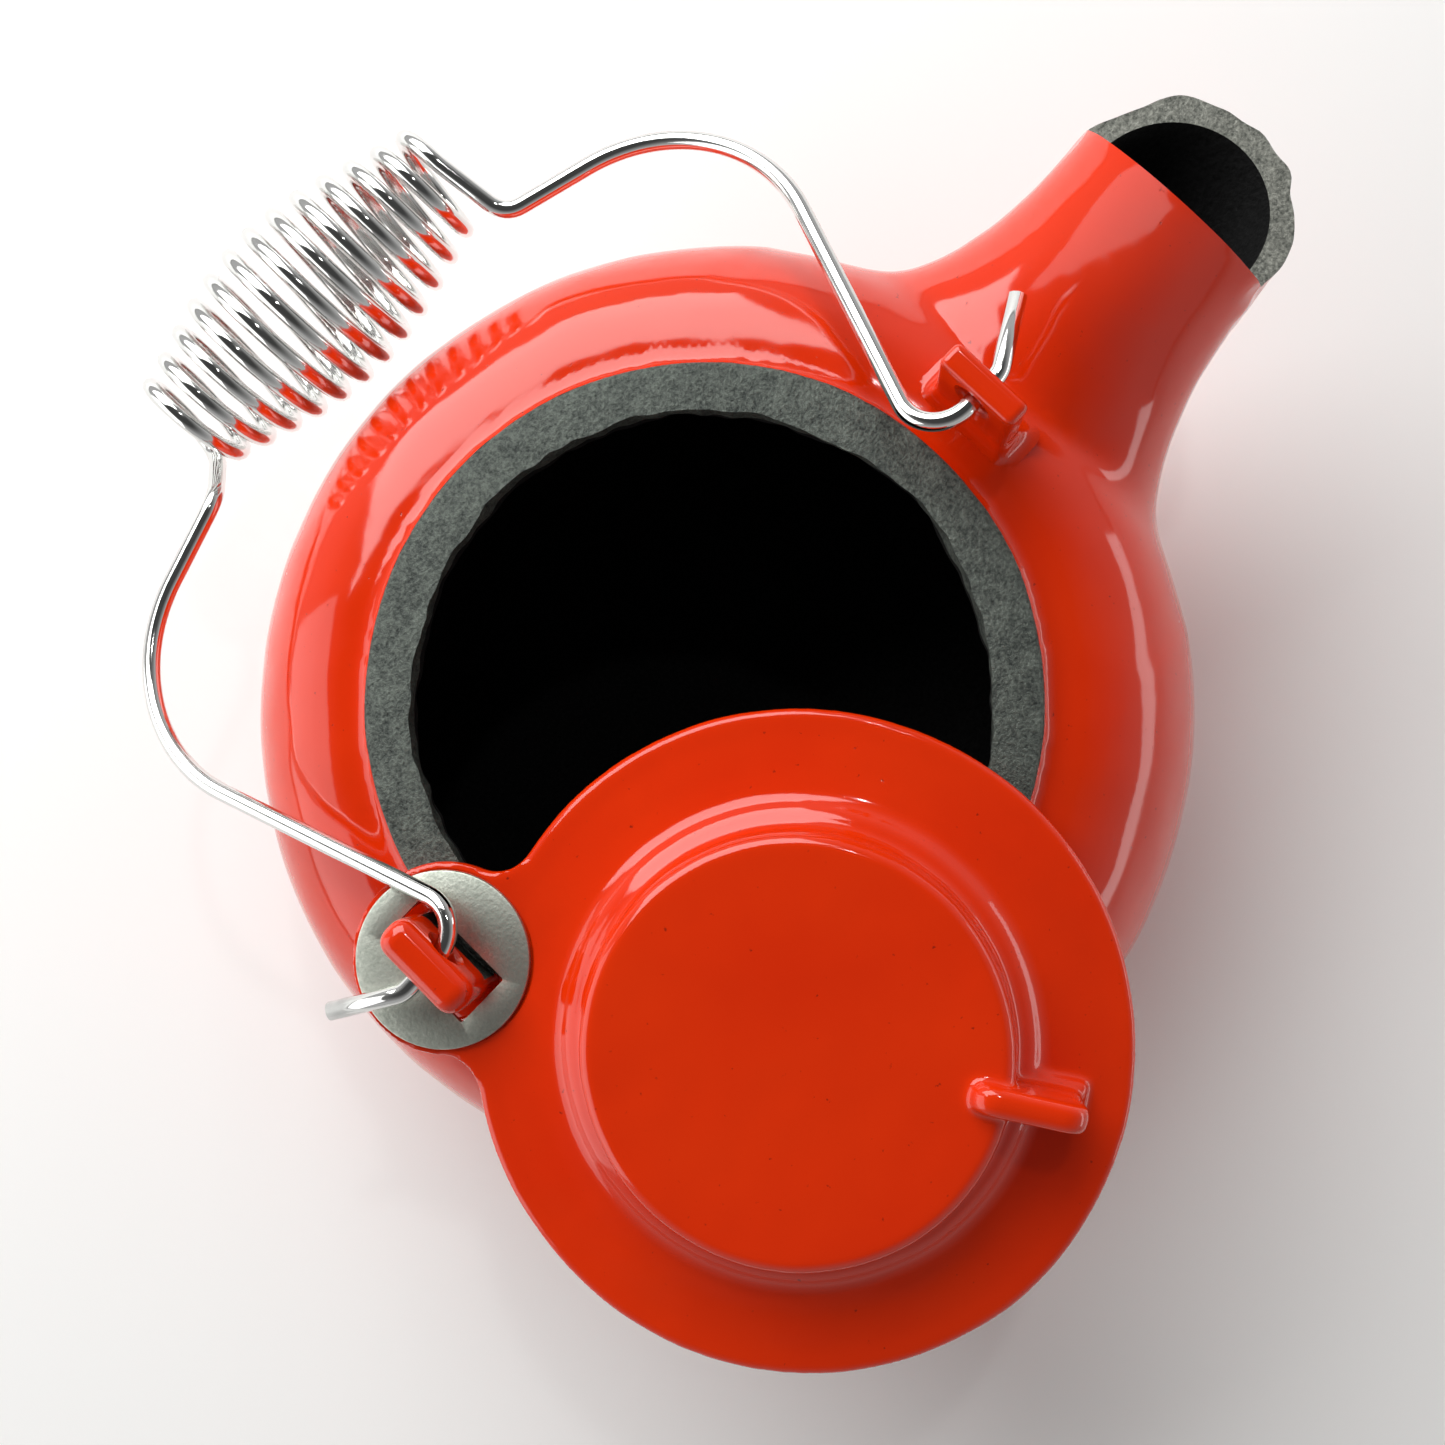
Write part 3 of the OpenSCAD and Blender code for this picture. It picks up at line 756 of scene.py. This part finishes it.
def makeBail():
    front, frontCorner, turnOut = sidePath(bail["frontRun"])
    rear, rearCorner, _ = sidePath(bail["rearRun"])
    rear = [Vector((-p.x, p.y, 0)) for p in rear]
    rearCorner.x *= -1
    middle = (frontCorner + rearCorner) / 2
    line = frontCorner - rearCorner
    tilt = Matrix.Rotation(math.atan2(line.y, line.x), 3, "Z")
    half = line.length / 2 - bail["legAdvance"]
    steps = round(bail["stepsPerTurn"] * bail["turns"])
    coil = [middle + tilt @ coilPoint(i / steps, half) for i in range(steps + 1)]
    path = front[:-1] + cornerPoints(front[-1], frontCorner, coil[0]) + coil
    path += list(reversed(cornerPoints(rear[-1], rearCorner, coil[-1]))) + list(reversed(rear[:-1]))
    deselectAll()
    bpy.ops.curve.primitive_bezier_curve_add()
    wire = named("bail_wire")
    wire.data.splines.clear()
    spline = wire.data.splines.new("POLY")
    spline.points.add(len(path) - 1)
    swung = Matrix.Rotation(math.radians(bail["angle"]), 3, "X")
    place = Vector((bail["middle"], 0, bail["pivot"]))
    for point, spot in zip(spline.points, path):
        point.co = (*((swung @ spot + place) * mm), 1)
    wire.data.dimensions = "3D"
    wire.data.bevel_depth = bail["wire"] / 2 * mm
    wire.data.bevel_resolution = bail["roundness"]
    wire.data.use_fill_caps = True
    takeUp(wire)
    bpy.ops.object.convert(target="MESH")
    wire = bpy.context.object
    editAll(wire)
    bpy.ops.mesh.remove_doubles(threshold=weld)
    faceOutwards()
    # the cut ends of the wire are eased
    selectFaces(wire, lambda face: len(face.vertices) > 4)
    bpy.ops.mesh.bevel(offset=bail["cutEase"] * mm, segments=3, affect="EDGES")
    leaveEdit()
    smoothShade(wire)
    return wire


# the pieces, made and put on their bodies
kettle = makePot()
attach(kettle, "kettle")
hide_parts("kettle_casting")
print("pot cast")

lidPiece = makeLid()
paint(lidPiece, enamel)
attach(lidPiece, "lid")
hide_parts("lid")
print("lid cast")

washerPiece = makeWasher()
paint(washerPiece, zinc)
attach(washerPiece, "kettle")
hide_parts("pivot_washer")
print("washer stamped")

wirePiece = makeBail()
paint(wirePiece, chrome)
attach(wirePiece, "bail")
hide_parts("rear_arm", "front_arm", "grip_coil")
print("bail bent")

# the floor and the lights, in metres; the room is bright all round and dark overhead
studio = {
    "floor": 6.0, "aim": (0.02, 0, 0.08), "fadeFrom": 0.25, "fadeTo": 0.85, "horizon": 0.5, "zenith": 0.06,
    "lamps": [
        {"name": "mainSoftbox", "place": (0.35, 1.1, 0.95), "size": (1.5, 1.1), "watts": 27},
        {"name": "leftSoftbox", "place": (-1.2, 0.7, 0.6), "size": (1.6, 1.1), "watts": 9},
        {"name": "rightStrip", "place": (0.9, -1.0, 0.12), "size": (1.5, 0.3), "watts": 3.5},
        {"name": "smallLamp", "place": (0.45, 0.2, 1.0), "size": (0.05, 0.05), "watts": 0.7},
    ],
}

deselectAll()
bpy.ops.mesh.primitive_plane_add(size=studio["floor"])
floor = named("floor")
# matt white paper, with a grain just fine enough to show
paper, paperShader = newMaterial("whitePaper", Base_Color=linear("#F7F7F5"), Roughness=0.9)
paperPlace = addNode(paper, "TexCoord").outputs["Object"]
paperGrain = addNode(paper, "TexNoise", {"Vector": paperPlace}, Scale=perMetre(2))
paperBumps = addNode(paper, "Bump", {"Height": paperGrain.outputs["Fac"]}, Strength=0.05, Distance=0.0002)
ink(paper, paperShader.inputs["Normal"], paperBumps.outputs["Normal"])
floor.data.materials.append(paper)

for lamp in studio["lamps"]:
    way = Vector(studio["aim"]) - Vector(lamp["place"])
    bpy.ops.object.light_add(type="AREA", location=lamp["place"],
                             rotation=way.to_track_quat("-Z", "Y").to_euler())
    light = bpy.context.object
    light.name = lamp["name"]
    light.data.shape = "RECTANGLE"
    light.data.size, light.data.size_y = lamp["size"]
    light.data.energy = lamp["watts"]

world = bpy.data.worlds.new("softRoom")
bpy.context.scene.world = world
world.use_nodes = True
room = world.node_tree.nodes["Background"]
height = addNode(world, "SeparateXYZ", {"Vector": addNode(world, "TexCoord").outputs["Generated"]})
fade = addNode(world, "MapRange", {"Value": height.outputs["Z"]}, From_Min=studio["fadeFrom"],
               From_Max=studio["fadeTo"], To_Min=studio["horizon"], To_Max=studio["zenith"])
ink(world, room.inputs["Strength"], fade.outputs["Result"])
room.inputs["Color"].default_value = (1, 1, 1, 1)
bpy.context.scene.view_settings.view_transform = "Standard"
print("studio lit")
